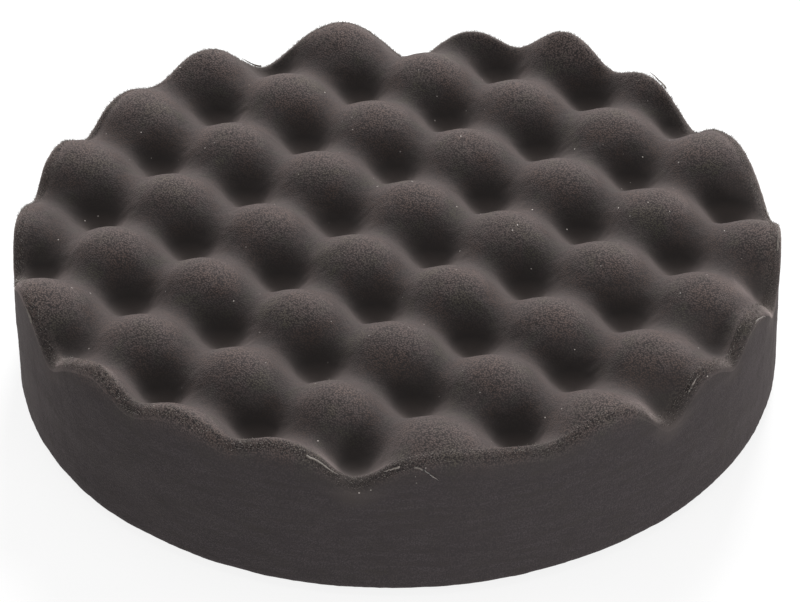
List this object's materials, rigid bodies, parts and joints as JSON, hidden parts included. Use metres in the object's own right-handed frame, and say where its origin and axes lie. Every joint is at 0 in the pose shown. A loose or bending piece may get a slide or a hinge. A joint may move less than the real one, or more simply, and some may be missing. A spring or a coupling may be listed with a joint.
{
  "type": "polishing pad",
  "caption": "Round foam polishing pad with a dimpled egg-crate face, a straight wall and a loop fabric backing that grips a hook-faced backing plate.",
  "frame": {"origin": "centre of the loop face, on the pad's axis, which is also the bottom centre of the whole pad", "axes": "+Z along the pad's axis, out of the dimpled face; the rows of dimples run 31.35 degrees from +X towards -Y, and across that; -Y is the side the reference view looks at"},
  "size_m": [0.2032, 0.2032, 0.0486],
  "materials": {
    "foam": "matte",
    "glue": "satin",
    "loop_fabric": "matte",
    "loops": "matte"
  },
  "bodies": {
    "root": {"foam_body": "foam", "adhesive_film": "glue", "backing_fabric": "loop_fabric", "loop_pile": "loops"}
  },
  "joints": []
}
